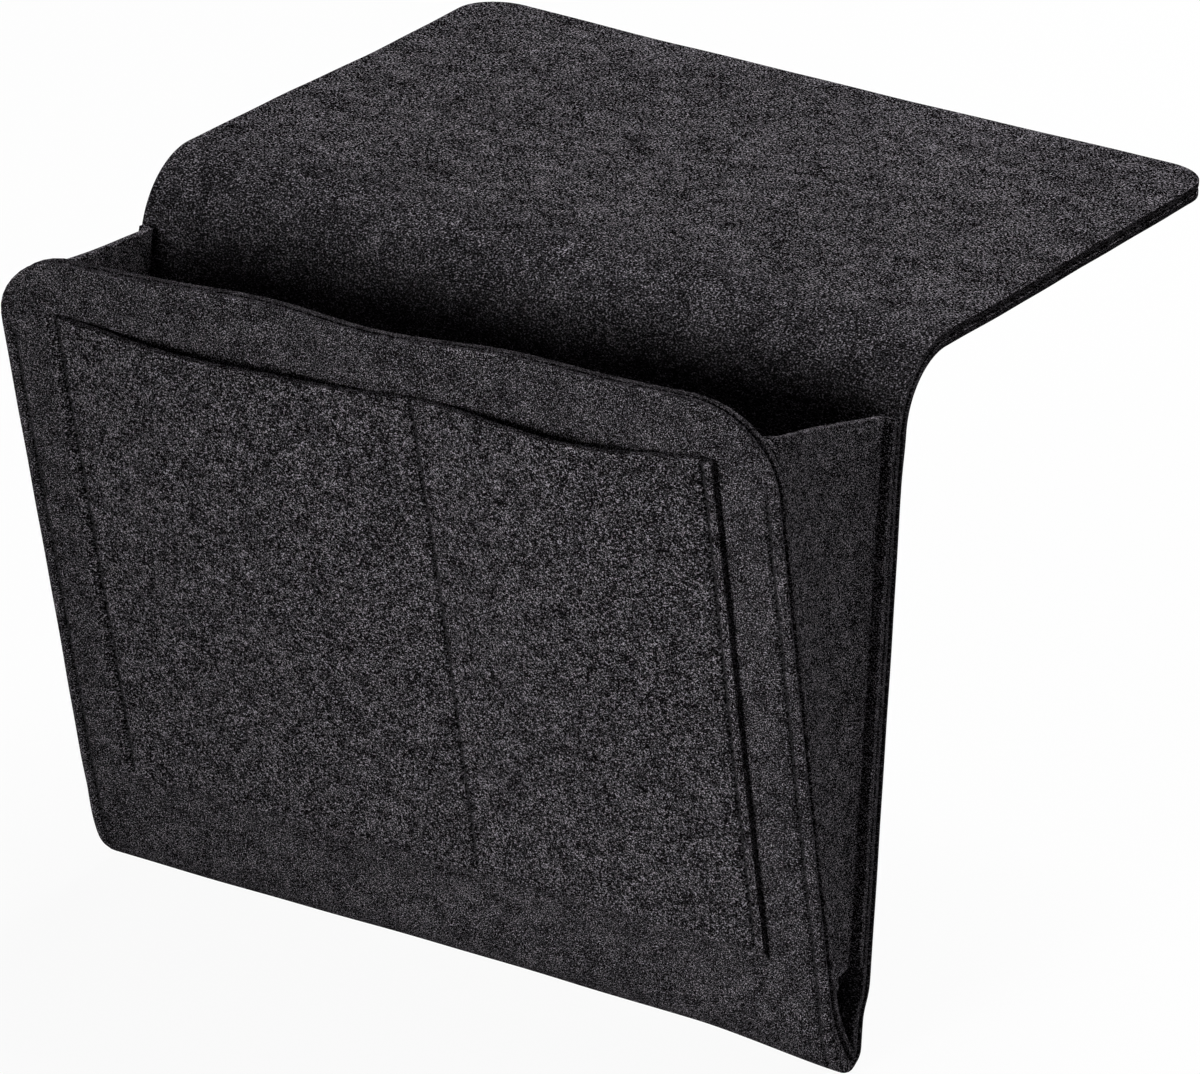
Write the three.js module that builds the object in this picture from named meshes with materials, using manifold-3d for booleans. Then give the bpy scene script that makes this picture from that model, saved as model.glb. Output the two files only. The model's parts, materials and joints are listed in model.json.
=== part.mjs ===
// A felt bedside caddy. A flap lies under the mattress, the back hangs from it round a soft bend,
// and below the bottom fold the same sheets rise again as the leaning front of a pocket.
// Two gussets join the front to the back, and a divided pocket panel is sewn on the front.
// Millimetres, +Z up, +X to the right as seen from the front, and the front faces -Y.
// The origin is the middle of the flap's flat underside.

import * as THREE from 'three';
import { mergeVertices } from 'three/addons/utils/BufferGeometryUtils.js';
import Module from 'manifold-3d';

const wasm = await Module();
wasm.setup();

// Driving sizes of the sheets
const width = 320;                  // every sheet, from side to side
const felt = 3;                     // one layer of felt
const layerGap = 0.3;               // between felt faces that lie on each other, or meet end to end
const flapLength = 207;             // flat part of the flap, from the bend to its far edge
const flapCorner = 21;              // radius of the flap's far corners
const bendRadius = 25;              // bed side of the bend between flap and back
const hangHeight = 275;             // from the flap's top face down to the bottom fold
const foldRadius = 6.6;             // inside of the bottom fold
const frontLean = THREE.MathUtils.degToRad(16);
const frontLength = 275.5;          // from the bottom fold up to the front's top edge
const frontCorner = 33;             // radius of the front's top corners

// Driving sizes of the gussets
const flangeWidth = 4.5;            // sewn edge of a gusset, beyond its web
const gussetBackDrop = 24;          // from the flap's top face down to the gusset's top at the back
const gussetFrontDrop = 14;         // from the front's top edge down to the gusset's top at the front
const gussetFoot = 26;              // from the fold's centre line up to the gusset's lower edge

// Driving sizes of the pocket panel and the seams
const pocketWidth = 273;
const pocketHeight = 216;
const pocketLift = 38;              // from the bottom fold up to the panel's lower edge
const pocketMouth = 9;              // how far each mouth gapes at its middle
const dividerOffset = 15;           // the divider seam lies to the right of the middle
const hem = 5;                      // from a cut edge to its seam
const threadWidth = 0.9;
const threadDepth = 0.8;
const threadClearance = 0.15;       // round a thread in its groove

// Fineness of the curves
const arcSteps = 12;
const cellColumns = 14;             // facets across each half of the pocket panel
const bulgeRows = 9;                // facets up the pocket panel

// Places that follow from the driving sizes
const halfWidth = width / 2;
const layerPitch = felt + layerGap;
const sheetThickness = layerPitch + felt;
const bendCentre = { y: -flapLength / 2, z: -bendRadius };
const backFace = bendCentre.y - bendRadius;
const backInside = backFace - sheetThickness;
const foldOuterRadius = foldRadius + sheetThickness;
const foldCentre = { y: backFace - foldOuterRadius, z: sheetThickness - hangHeight + foldOuterRadius };
const backHeight = bendCentre.z - foldCentre.z;
const frontFace = -foldOuterRadius;
const pocketFace = frontFace - layerPitch;

// The front's own frame: its origin is the fold's centre line and its Z runs up the leaning front
const frontFrame = new THREE.Group();
frontFrame.position.set(0, foldCentre.y, foldCentre.z);
frontFrame.rotation.x = frontLean;
frontFrame.updateMatrix();

const caddy = new THREE.Group();
caddy.name = 'bedside_caddy';
caddy.add(frontFrame);

// Finishes
const feltFinish = { color: 0x3a393c, roughness: 0.95, metalness: 0 };
const threadFinish = { color: 0x29282b, roughness: 0.8, metalness: 0 };

function addPiece(group, name, geometry, finish) {
  const mesh = new THREE.Mesh(geometry, new THREE.MeshStandardMaterial(finish));
  mesh.name = name;
  group.add(mesh);
}

// Boolean cuts and joins
function solidOf(geometry) {
  const bare = geometry.clone();
  bare.deleteAttribute('normal');
  bare.deleteAttribute('uv');
  const welded = mergeVertices(bare);
  return new wasm.Manifold(new wasm.Mesh({
    numProp: 3,
    vertProperties: Float32Array.from(welded.attributes.position.array),
    triVerts: Uint32Array.from(welded.index.array),
  }));
}

function geometryOf(solid) {
  const mesh = solid.getMesh();
  const geometry = new THREE.BufferGeometry();
  geometry.setAttribute('position', new THREE.BufferAttribute(mesh.vertProperties, 3));
  geometry.setIndex(new THREE.BufferAttribute(mesh.triVerts, 1));
  geometry.computeVertexNormals();
  return geometry;
}

// A box between two corners
function boxBetween(low, high) {
  const geometry = new THREE.BoxGeometry(high[0] - low[0], high[1] - low[1], high[2] - low[2]);
  return geometry.translate((low[0] + high[0]) / 2, (low[1] + high[1]) / 2, (low[2] + high[2]) / 2);
}

// A sheet outline that starts on its lower edge and has two rounded corners at the far edge
function roundedOutline(length, corner) {
  const outline = new THREE.Shape();
  outline.moveTo(-halfWidth, 0);
  outline.lineTo(halfWidth, 0);
  outline.absarc(halfWidth - corner, length - corner, corner, 0, Math.PI / 2);
  outline.absarc(corner - halfWidth, length - corner, corner, Math.PI / 2, Math.PI);
  outline.closePath();
  return outline;
}

function extrude(outline, depth) {
  return new THREE.ExtrudeGeometry(outline, { depth, bevelEnabled: false, curveSegments: arcSteps });
}

// Stands an extruded outline up: its height runs along Z and its thickness along -Y
function standing(geometry) {
  return geometry.rotateX(Math.PI / 2);
}

// Lays an outline drawn in Y and Z across the sheet, from x = start over the given breadth
function acrossSheet(outline, start, breadth) {
  const turn = new THREE.Matrix4().makeBasis(
    new THREE.Vector3(0, 1, 0),
    new THREE.Vector3(0, 0, 1),
    new THREE.Vector3(1, 0, 0),
  );
  return extrude(outline, breadth).applyMatrix4(turn).translate(start, 0, 0);
}

// A strip of felt that curves round a centre line, between two angles in the Y, Z plane
function curvedStrip(centre, innerRadius, startAngle, endAngle) {
  const outline = new THREE.Shape();
  outline.absarc(centre.y, centre.z, innerRadius + felt, startAngle, endAngle);
  outline.absarc(centre.y, centre.z, innerRadius, endAngle, startAngle, true);
  outline.closePath();
  return acrossSheet(outline, -halfWidth, width);
}

// Flap: the underside layer lies on the bed base, the top layer meets the mattress
function flapLayer(lowFace) {
  return extrude(roundedOutline(flapLength, flapCorner), felt).translate(0, bendCentre.y, lowFace);
}
addPiece(caddy, 'flap_under_layer', flapLayer(0), feltFinish);
addPiece(caddy, 'flap_top_layer', flapLayer(layerPitch), feltFinish);

// Bend between flap and back, with a small gap to the sheets at both of its ends
function bendLayer(innerRadius) {
  const trim = layerGap / innerRadius;
  return curvedStrip(bendCentre, innerRadius, Math.PI / 2 + trim, Math.PI - trim);
}
addPiece(caddy, 'bend_under_layer', bendLayer(bendRadius), feltFinish);
addPiece(caddy, 'bend_top_layer', bendLayer(bendRadius + layerPitch), feltFinish);

// Threads lie in grooves on the felt, flush with its face, and run up a sheet or across it
function threadBox(middle, length, upright, face, outward, clearance) {
  const half = threadWidth / 2 + clearance;
  const reach = length / 2 + clearance;
  const proud = face + outward * (clearance > 0 ? felt : 0);
  const deep = face - outward * (threadDepth + clearance);
  const spread = upright ? [half, reach] : [reach, half];
  return boxBetween(
    [middle.x - spread[0], Math.min(proud, deep), middle.z - spread[1]],
    [middle.x + spread[0], Math.max(proud, deep), middle.z + spread[1]],
  );
}

function seam(name, middle, length, upright, face, outward) {
  return {
    name,
    thread: threadBox(middle, length, upright, face, outward, 0),
    groove: threadBox(middle, length, upright, face, outward, threadClearance),
  };
}

function grooved(geometry, seams) {
  let sheet = solidOf(geometry);
  for (const { groove } of seams) {
    sheet = sheet.subtract(solidOf(groove));
  }
  return geometryOf(sheet);
}

function addThreads(group, seams) {
  for (const { name, thread } of seams) {
    addPiece(group, name, thread, threadFinish);
  }
}

const sides = [['left', -1], ['right', 1]];

// Back: the outer layer lies against the bed, and carries the seams that hold the gussets' back flanges
const gussetBackTop = sheetThickness - gussetBackDrop;
const gussetBackFoot = foldCentre.z + gussetFoot;
function backLayer(bedFace) {
  return boxBetween(
    [-halfWidth, bedFace - felt, foldCentre.z + layerGap],
    [halfWidth, bedFace, bendCentre.z - layerGap],
  );
}
const backSeamTop = bendCentre.z - hem;
const backSeamFoot = gussetBackFoot + hem;
const backSeams = sides.map(([side, sign]) => seam(
  `back_seam_${side}`,
  { x: sign * (halfWidth - hem), z: (backSeamTop + backSeamFoot) / 2 },
  backSeamTop - backSeamFoot,
  true,
  backFace,
  1,
));
addPiece(caddy, 'back_outer_layer', grooved(backLayer(backFace), backSeams), feltFinish);
addPiece(caddy, 'back_inner_layer', backLayer(backFace - layerPitch), feltFinish);
addThreads(caddy, backSeams);

// Bottom fold: it turns from the back, under the pocket, to the leaning front
function foldLayer(innerRadius) {
  const trim = layerGap / innerRadius;
  return curvedStrip(foldCentre, innerRadius, Math.PI + frontLean + trim, 2 * Math.PI - trim);
}
addPiece(caddy, 'fold_outer_layer', foldLayer(foldRadius + layerPitch), feltFinish);
addPiece(caddy, 'fold_inner_layer', foldLayer(foldRadius), feltFinish);

// Front: two layers with rounded top corners, in the leaning frame
function frontLayer(insideFace) {
  const upright = standing(extrude(roundedOutline(frontLength, frontCorner), felt));
  return upright.translate(0, insideFace, layerGap);
}
const frontSeamTop = frontLength - frontCorner;
const frontSeamFoot = gussetFoot + hem;
const frontSeams = sides.map(([side, sign]) => seam(
  `front_seam_${side}`,
  { x: sign * (halfWidth - hem), z: (frontSeamTop + frontSeamFoot) / 2 },
  frontSeamTop - frontSeamFoot,
  true,
  frontFace,
  -1,
));
addPiece(frontFrame, 'front_outer_layer', grooved(frontLayer(frontFace + felt), frontSeams), feltFinish);
addPiece(frontFrame, 'front_inner_layer', frontLayer(-foldRadius), feltFinish);
addThreads(frontFrame, frontSeams);

// Gussets: a web between two flanges that are turned outward, one on the back and one on the front
function frontPlace(y, z) {
  const place = new THREE.Vector3(0, y, z).applyMatrix4(frontFrame.matrix);
  return new THREE.Vector2(place.y, place.z);
}

function gusset(sign) {
  const webOutside = halfWidth - flangeWidth;
  const webInside = webOutside - felt;
  const spanX = (near, far) => (sign > 0 ? [near, far] : [-far, -near]);

  const backSide = backInside - layerGap;
  const [flangeLow, flangeHigh] = spanX(webInside, halfWidth);
  const backFlange = boxBetween(
    [flangeLow, backSide - felt, gussetBackFoot],
    [flangeHigh, backSide, gussetBackTop],
  );

  const frontSide = layerGap - foldRadius;
  const frontTop = frontLength - gussetFrontDrop;
  const wholeFlange = boxBetween(
    [flangeLow, frontSide, gussetFoot],
    [flangeHigh, frontSide + felt, frontTop],
  );
  const frontShape = standing(extrude(roundedOutline(frontLength, frontCorner), felt));
  const trimToFront = frontShape.translate(0, frontSide + felt, layerGap);
  const frontFlange = geometryOf(solidOf(wholeFlange).intersect(solidOf(trimToFront)));
  frontFlange.applyMatrix4(frontFrame.matrix);

  const web = new THREE.Shape([
    new THREE.Vector2(backSide, gussetBackFoot),
    new THREE.Vector2(backSide, gussetBackTop),
    frontPlace(frontSide, frontTop),
    frontPlace(frontSide, gussetFoot),
  ]);
  const [webLow] = spanX(webInside, webOutside);
  const joined = solidOf(acrossSheet(web, webLow, felt))
    .add(solidOf(backFlange))
    .add(solidOf(frontFlange));
  return geometryOf(joined);
}
for (const [side, sign] of sides) {
  addPiece(caddy, `gusset_${side}`, gusset(sign), feltFinish);
}

// Pocket panel: sewn flat along its sides, foot and divider, with each half gaping towards its mouth
const pocketFoot = pocketLift + layerGap;
const pocketTop = pocketFoot + pocketHeight;
const seamLeft = hem - pocketWidth / 2;
const seamRight = pocketWidth / 2 - hem;
const seamFoot = pocketFoot + hem;

// Places from one value to another, in equal steps, without the first
function stepsTo(from, to, count) {
  return Array.from({ length: count }, (_, i) => from + ((to - from) * (i + 1)) / count);
}
const pocketColumns = [
  -pocketWidth / 2,
  seamLeft,
  ...stepsTo(seamLeft, dividerOffset, cellColumns),
  ...stepsTo(dividerOffset, seamRight, cellColumns),
  pocketWidth / 2,
];
const pocketRows = [pocketFoot, seamFoot, ...stepsTo(seamFoot, pocketTop, bulgeRows)];

function gape(x, z) {
  const [cellLow, cellHigh] = x < dividerOffset ? [seamLeft, dividerOffset] : [dividerOffset, seamRight];
  const across = THREE.MathUtils.clamp((x - cellLow) / (cellHigh - cellLow), 0, 1);
  const up = THREE.MathUtils.clamp((z - seamFoot) / (pocketTop - seamFoot), 0, 1);
  return pocketMouth * (Math.sin(Math.PI * across) * Math.sin((Math.PI * up) / 2)) ** 1.5;
}

function pocketPanel() {
  const columns = pocketColumns.length - 1;
  const rows = pocketRows.length - 1;
  const geometry = new THREE.BoxGeometry(columns, felt, rows, columns, 1, rows);
  const place = geometry.attributes.position;
  for (let i = 0; i < place.count; i += 1) {
    const x = pocketColumns[Math.round(place.getX(i) + columns / 2)];
    const z = pocketRows[Math.round(place.getZ(i) + rows / 2)];
    place.setXYZ(i, x, pocketFace + felt / 2 + place.getY(i) - gape(x, z), z);
  }
  return geometry;
}

const sideSeamLength = pocketTop - seamFoot - hem;
const sideSeamMiddle = seamFoot + hem / 2 + sideSeamLength / 2;
const pocketSeams = [
  seam('pocket_seam_left', { x: seamLeft, z: sideSeamMiddle }, sideSeamLength, true, pocketFace, -1),
  seam('pocket_seam_divider', { x: dividerOffset, z: sideSeamMiddle }, sideSeamLength, true, pocketFace, -1),
  seam('pocket_seam_right', { x: seamRight, z: sideSeamMiddle }, sideSeamLength, true, pocketFace, -1),
  seam('pocket_seam_foot', { x: 0, z: seamFoot }, seamRight - seamLeft, false, pocketFace, -1),
];
addPiece(frontFrame, 'pocket_panel', grooved(pocketPanel(), pocketSeams), feltFinish);
addThreads(frontFrame, pocketSeams);

export default caddy;
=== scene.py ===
# %% [markdown]
# # A felt bedside caddy
# The real caddy is cut from thick pressed felt. Two layers lie on each other and run in one long strip:
# a flap that goes under the mattress, a soft bend over the bed's edge, the back, a tight fold at the bottom,
# and the leaning front. Two gussets close the sides, and a divided pocket panel is sewn on the front.
# Every piece here is made the way the real one is: as a flat cut that is then laid along a line in space.

# %% Load the frame
import json
import math

import bpy
import numpy as np
from mathutils import Matrix, Vector


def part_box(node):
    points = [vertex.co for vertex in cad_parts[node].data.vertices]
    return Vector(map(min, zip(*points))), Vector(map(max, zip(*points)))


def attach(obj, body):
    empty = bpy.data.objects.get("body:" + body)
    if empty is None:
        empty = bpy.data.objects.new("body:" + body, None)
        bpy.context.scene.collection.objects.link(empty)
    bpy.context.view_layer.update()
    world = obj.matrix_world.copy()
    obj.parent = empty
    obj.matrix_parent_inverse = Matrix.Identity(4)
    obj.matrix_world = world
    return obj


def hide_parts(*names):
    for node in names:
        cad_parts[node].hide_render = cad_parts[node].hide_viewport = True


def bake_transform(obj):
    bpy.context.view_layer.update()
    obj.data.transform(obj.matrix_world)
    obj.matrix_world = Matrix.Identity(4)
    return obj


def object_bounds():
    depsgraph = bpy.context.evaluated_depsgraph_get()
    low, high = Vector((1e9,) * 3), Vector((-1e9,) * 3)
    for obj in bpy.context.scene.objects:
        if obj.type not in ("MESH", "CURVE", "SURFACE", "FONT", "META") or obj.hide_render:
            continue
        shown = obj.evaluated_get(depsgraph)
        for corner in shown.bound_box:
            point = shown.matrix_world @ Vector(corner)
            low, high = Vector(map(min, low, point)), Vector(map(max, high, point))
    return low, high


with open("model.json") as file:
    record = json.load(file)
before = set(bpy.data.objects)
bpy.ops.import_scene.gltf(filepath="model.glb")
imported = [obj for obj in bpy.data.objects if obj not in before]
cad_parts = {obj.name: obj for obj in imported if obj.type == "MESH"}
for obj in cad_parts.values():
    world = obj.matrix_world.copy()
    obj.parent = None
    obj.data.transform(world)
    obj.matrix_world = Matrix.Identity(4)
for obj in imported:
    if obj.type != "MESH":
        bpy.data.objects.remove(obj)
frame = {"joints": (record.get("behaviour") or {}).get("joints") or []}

MM = 0.001
cad_low, cad_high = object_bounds()
joints = {joint["name"]: joint for joint in frame["joints"]}
print("CAD box in mm:", [round(v / MM) for v in cad_high - cad_low])

# %% [markdown]
# ## Camera
# The photograph was taken from the right, a little above, through a long lens, so the edges hardly converge.
# The camera's place and turn come from fitting the caddy's straight edges to the picture. The frame's middle
# isn't quite the lens's middle, so a small shift finishes the fit.

# %% Camera
PHOTO_WIDTH, PHOTO_HEIGHT = 1200, 1074
LENS_MIDDLE = (584.0, 558.2)
FOCAL_PIXELS = 9157.8
SENSOR_WIDTH = 36
FAR_CLIP = 50
EYE = Vector((1.5673, -2.7851, 1.1427))
YAW, PITCH, ROLL = 0.5242, 0.3861, 0.0501


def photo_camera():
    ahead = Vector((-math.sin(YAW) * math.cos(PITCH), math.cos(YAW) * math.cos(PITCH), -math.sin(PITCH)))
    level = Vector((math.cos(YAW), math.sin(YAW), 0))
    upright = level.cross(ahead)
    right = math.cos(ROLL) * level + math.sin(ROLL) * upright
    up = math.cos(ROLL) * upright - math.sin(ROLL) * level
    turn = Matrix((right, up, -ahead)).transposed().to_4x4()
    data = bpy.data.cameras.new("photo_camera")
    data.sensor_width = SENSOR_WIDTH
    data.lens = FOCAL_PIXELS / PHOTO_WIDTH * SENSOR_WIDTH
    data.shift_x = (PHOTO_WIDTH / 2 - LENS_MIDDLE[0]) / PHOTO_WIDTH
    data.shift_y = (LENS_MIDDLE[1] - PHOTO_HEIGHT / 2) / PHOTO_WIDTH
    data.clip_end = FAR_CLIP
    camera = bpy.data.objects.new("photo_camera", data)
    camera.matrix_world = Matrix.Translation(EYE) @ turn
    bpy.context.scene.collection.objects.link(camera)
    bpy.context.scene.camera = camera
    return camera


camera = photo_camera()
print(f"lens {camera.data.lens:.0f} mm, shift {camera.data.shift_x:.4f}, {camera.data.shift_y:.4f}")

# %% [markdown]
# ## The line that the felt follows
# Seen from the side, the double sheet is one line: straight over the flap, a quarter turn, straight down the
# back, a small pinch forward, a tight fold, a short sole and straight up the leaning front. It could be drawn
# as a Bezier curve, but arcs and straights give exact lengths, so the flat cut keeps its size. Each run of the
# line has a length and a curvature, and any place on the felt is then x across, s along and t through it.

# %% Sizes from the frame
flap_low, flap_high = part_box("flap_under_layer")
flap_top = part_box("flap_top_layer")
back_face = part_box("back_outer_layer")[1].y
front_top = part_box("front_outer_layer")[1].z
fold_y, fold_z = joints["pocket_fold"]["pos_m"][1:]

HALF_WIDTH = flap_high.x
FELT = flap_high.z - flap_low.z
LAYER_GAP = flap_top[0].z - flap_high.z
MIDDLE = flap_top[1].z / 2
FLAP_LENGTH = flap_high.y - flap_low.y
FRONT_LEAN = math.radians(16)
FRONT_TRIM = 1.6 * MM
print(f"felt {FELT / MM:.1f} mm thick, {2 * HALF_WIDTH / MM:.0f} mm wide, flap {FLAP_LENGTH / MM:.0f} mm long")

# %% Sizes of the bottom fold, measured in the photograph
PINCH_SHIFT = 3.4 * MM
PINCH_HEIGHT = 16 * MM
PINCH_LIFT = 10 * MM
FOLD_RADIUS = 3.3 * MM
FOLD_TURN = math.radians(146)
HEEL_RADIUS = 60 * MM


# %% Runs of the line
def front_foot_runs(fold_centre, back_middle):
    """Lengths of the sole and the heel, and the height on the front where its straight part begins."""
    heading = 1.5 * math.pi - FOLD_TURN
    sole_from = fold_centre + FOLD_RADIUS * Vector((-math.sin(heading), math.cos(heading)))
    ahead = Vector((math.cos(heading), math.sin(heading)))
    up_front = Vector((-math.sin(FRONT_LEAN), math.cos(FRONT_LEAN)))
    out_front = Vector((-math.cos(FRONT_LEAN), -math.sin(FRONT_LEAN)))
    hinge = Vector((fold_y, fold_z))
    to_corner = (back_middle - fold_y - out_front.dot(sole_from - hinge)) / out_front.dot(ahead)
    heel_turn = math.pi - FRONT_LEAN - FOLD_TURN
    heel_reach = HEEL_RADIUS * math.tan(heel_turn / 2)
    front_start = up_front.dot(sole_from + to_corner * ahead - hinge) + heel_reach
    return to_corner - heel_reach, HEEL_RADIUS * heel_turn, front_start


def line_runs():
    """Length and curvature of each run, and the height on the front where its straight part begins."""
    bend_radius = flap_low.y - back_face + MIDDLE
    back_middle = back_face - MIDDLE
    pinch_turn = 2 * math.atan(PINCH_SHIFT / PINCH_HEIGHT)
    pinch_radius = PINCH_HEIGHT / 2 / math.sin(pinch_turn)
    fold_centre = Vector((back_middle - PINCH_SHIFT - FOLD_RADIUS, cad_low.z + MIDDLE + FOLD_RADIUS))
    back_length = MIDDLE - bend_radius - fold_centre.y - PINCH_LIFT - PINCH_HEIGHT
    sole, heel, front_start = front_foot_runs(fold_centre, back_middle)
    front_sheet = back_middle - fold_y + LAYER_GAP / 2
    front_reach = (front_top - fold_z + front_sheet * math.sin(FRONT_LEAN)) / math.cos(FRONT_LEAN)
    runs = {
        "flap": (FLAP_LENGTH, 0.0),
        "bend": (bend_radius * math.pi / 2, 1 / bend_radius),
        "back": (back_length, 0.0),
        "pinch": (pinch_radius * pinch_turn, -1 / pinch_radius),
        "unpinch": (pinch_radius * pinch_turn, 1 / pinch_radius),
        "drop": (PINCH_LIFT, 0.0),
        "fold": (FOLD_RADIUS * FOLD_TURN, -1 / FOLD_RADIUS),
        "sole": (sole, 0.0),
        "heel": (heel, -1 / HEEL_RADIUS),
        "front": (front_reach - front_start - FRONT_TRIM, 0.0),
    }
    return runs, front_start


run_lengths, FRONT_START = line_runs()
run_start, SHEET_LENGTH = {}, 0.0
for run_name, (run_length, _) in run_lengths.items():
    run_start[run_name] = SHEET_LENGTH
    SHEET_LENGTH += run_length
back_start, pinch_start, fold_start = (run_start[name] for name in ("back", "pinch", "fold"))
print("runs start at, in mm:", {name: round(start / MM, 1) for name, start in run_start.items()},
      "and the whole strip is", round(SHEET_LENGTH / MM, 1))


# %% Places on the line
ON_RUN = 1e-9


def run_step(y, z, heading, curvature, step):
    """Where a run leads from a place and heading, after each step along it."""
    turned = heading + curvature * step
    if curvature:
        return (y + (np.sin(turned) - math.sin(heading)) / curvature,
                z - (np.cos(turned) - math.cos(heading)) / curvature, turned)
    return y + step * math.cos(heading), z + step * math.sin(heading), turned


def sheet_line(s):
    """The line's y, z and heading at each s."""
    s = np.asarray(s, float)
    line = [np.zeros_like(s) for _ in range(3)]
    at = (flap_high.y, MIDDLE, math.pi)
    for name, (length, curvature) in run_lengths.items():
        here = s >= run_start[name] - ON_RUN
        on_run = run_step(*at, curvature, np.where(here, s - run_start[name], 0))
        line = [np.where(here, new, old) for new, old in zip(on_run, line)]
        at = tuple(float(value) for value in run_step(*at, curvature, length))
    return line


def ease(value):
    value = np.clip(value, 0, 1)
    return value * value * (3 - 2 * value)


print("the line ends at y, z in mm:", [round(float(v) / MM, 1) for v in sheet_line(SHEET_LENGTH)[:2]])

# %% [markdown]
# ## What makes it felt and not board
# Felt never lies quite flat. The front is twisted by about a degree and drawn up a little at its right corner,
# its top edge waves in and out by a few millimetres, and each sheet has slow, shallow ripples. These go into
# the one function that places every piece, so the pocket panel and the stitches follow the sheet that they
# are sewn to.

# %% Waves and ripples
EDGE_WAVE = 3.0 * MM
EDGE_WAVE_LENGTH = 123 * MM
EDGE_WAVE_MIDDLE = 3 * MM
EDGE_WAVE_SPREAD = 75 * MM
EDGE_WAVE_DEPTH = 95 * MM
RIPPLE = 0.35 * MM
SLOW_ACROSS, SLOW_ALONG, SLOW_SWAY = 31 * MM, 38 * MM, 47 * MM
SWAY, SLOW_PHASE = 1.3, 0.7
QUICK_ACROSS, QUICK_ALONG = 13 * MM, 17 * MM
CROSS_ACROSS, CROSS_ALONG = 29 * MM, 11 * MM
QUICK_SHARE = 0.35


def edge_wave(x, s):
    from_top = (SHEET_LENGTH - s) / EDGE_WAVE_DEPTH
    across = np.cos(2 * np.pi * (x - EDGE_WAVE_MIDDLE) / EDGE_WAVE_LENGTH)
    spread = np.exp(-(((x - EDGE_WAVE_MIDDLE) / EDGE_WAVE_SPREAD) ** 2))
    return EDGE_WAVE * across * spread * ease(1 - from_top) * (s > run_start["front"])


def ripple(x, s):
    slow = np.sin(x / SLOW_ACROSS + SWAY * np.sin(s / SLOW_SWAY)) * np.sin(s / SLOW_ALONG + SLOW_PHASE)
    quick = np.sin(x / QUICK_ACROSS - s / QUICK_ALONG) * np.sin(s / CROSS_ALONG + x / CROSS_ACROSS)
    return RIPPLE * (slow + QUICK_SHARE * quick)


# %% Slack at the corners
CURL = 1.8 * MM
CURL_REACH = 95 * MM
FRONT_RISE = 8.6 * MM
RISE_FROM = 119 * MM
FOOT_LIFT = 4.0 * MM
FOOT_TILT = 0.9 * MM
FOOT_CORNER = 65 * MM
FOOT_REACH = 40 * MM


def foot_lift(x, s):
    """The bottom fold hangs a little lower at its right end."""
    across = 1 - ease((x - HALF_WIDTH + FOOT_CORNER) / FOOT_CORNER)
    rising = ease((s - fold_start + FOOT_REACH) / FOOT_REACH)
    falling = ease((run_start["heel"] + FOOT_REACH - s) / FOOT_REACH)
    return (FOOT_LIFT + FOOT_TILT * x / HALF_WIDTH) * across * rising * falling


def front_rise(x, s):
    """The front is drawn up askew: its right corner stands higher than its left one."""
    up = np.clip((s - run_start["front"]) / (SHEET_LENGTH - run_start["front"]), 0, 1)
    return FRONT_RISE * up * (x + RISE_FROM) / (HALF_WIDTH + RISE_FROM)


def flap_curl(x, s):
    """The flap's far left corner curls up a little."""
    return CURL * ease(1 - np.hypot(x + HALF_WIDTH, s) / CURL_REACH)


# %% Placing felt in space
TWIST = math.radians(0.7)
LEAN_MORE = math.radians(0.45)


def sheet_place(x, s, t):
    """Where a place on the felt lies: x across, s along the strip, t out from its middle."""
    x, s, t = np.broadcast_arrays(*(np.asarray(v, float) for v in (x, s, t)))
    y, z, heading = sheet_line(s)
    t = t + edge_wave(x, s) + ripple(x, s)
    rise = front_rise(x, s)
    y = y - t * np.sin(heading) - rise * math.sin(FRONT_LEAN)
    z = z + t * np.cos(heading) + rise * math.cos(FRONT_LEAN) + foot_lift(x, s) + flap_curl(x, s)
    follows = ease((s - fold_start) / (run_start["front"] - fold_start))
    turn = (LEAN_MORE - TWIST * x / HALF_WIDTH) * follows
    from_y, from_z = y - fold_y, z - fold_z
    return np.stack([
        x,
        fold_y + from_y * np.cos(turn) - from_z * np.sin(turn),
        fold_z + from_y * np.sin(turn) + from_z * np.cos(turn),
    ], axis=-1)


print("the front's top corners are at z, in mm:",
      [round(float(sheet_place(x, SHEET_LENGTH, 0)[2]) / MM, 1) for x in (-HALF_WIDTH, HALF_WIDTH)])

# %% [markdown]
# ## Cutting felt
# A felt piece could be a flat grid with a Solidify modifier, but the cut edges of thick felt have a soft rim
# and show all round this object. So a helper builds the closed slab itself: a grid for each face and, round
# the cut, a few rings that roll over the rim. A cut is given row by row as its place along
# the strip and its left and right edge. The flat place of every point is kept with the mesh as "cloth", so
# that the felt's fibres lie in the sheet and go with it when it moves.

# %% A mesh with its cloth
SHARP = math.radians(55)


def mesh_piece(name, points, faces, cloth, values):
    """An object with its flat places and further values kept on its points."""
    mesh = bpy.data.meshes.new(name)
    mesh.from_pydata(points.tolist(), [], faces)
    kept = mesh.attributes.new("cloth", "FLOAT_VECTOR", "POINT")
    kept.data.foreach_set("vector", cloth.astype(np.float32).ravel())
    for key, value in values.items():
        kept = mesh.attributes.new(key, "FLOAT", "POINT")
        kept.data.foreach_set("value", value.astype(np.float32))
    mesh.shade_smooth()
    piece = bpy.data.objects.new(name, mesh)
    bpy.context.scene.collection.objects.link(piece)
    return piece


# %% A slab of felt
RIM = 0.45 * MM
RIM_STEPS = 3


def outline_normals(outline):
    along = np.roll(outline, -1, axis=0) - np.roll(outline, 1, axis=0)
    along /= np.linalg.norm(along, axis=1, keepdims=True)
    return np.stack([along[:, 1], -along[:, 0]], axis=-1)


def unpressed(x, s):
    return np.zeros_like(x)


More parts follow.
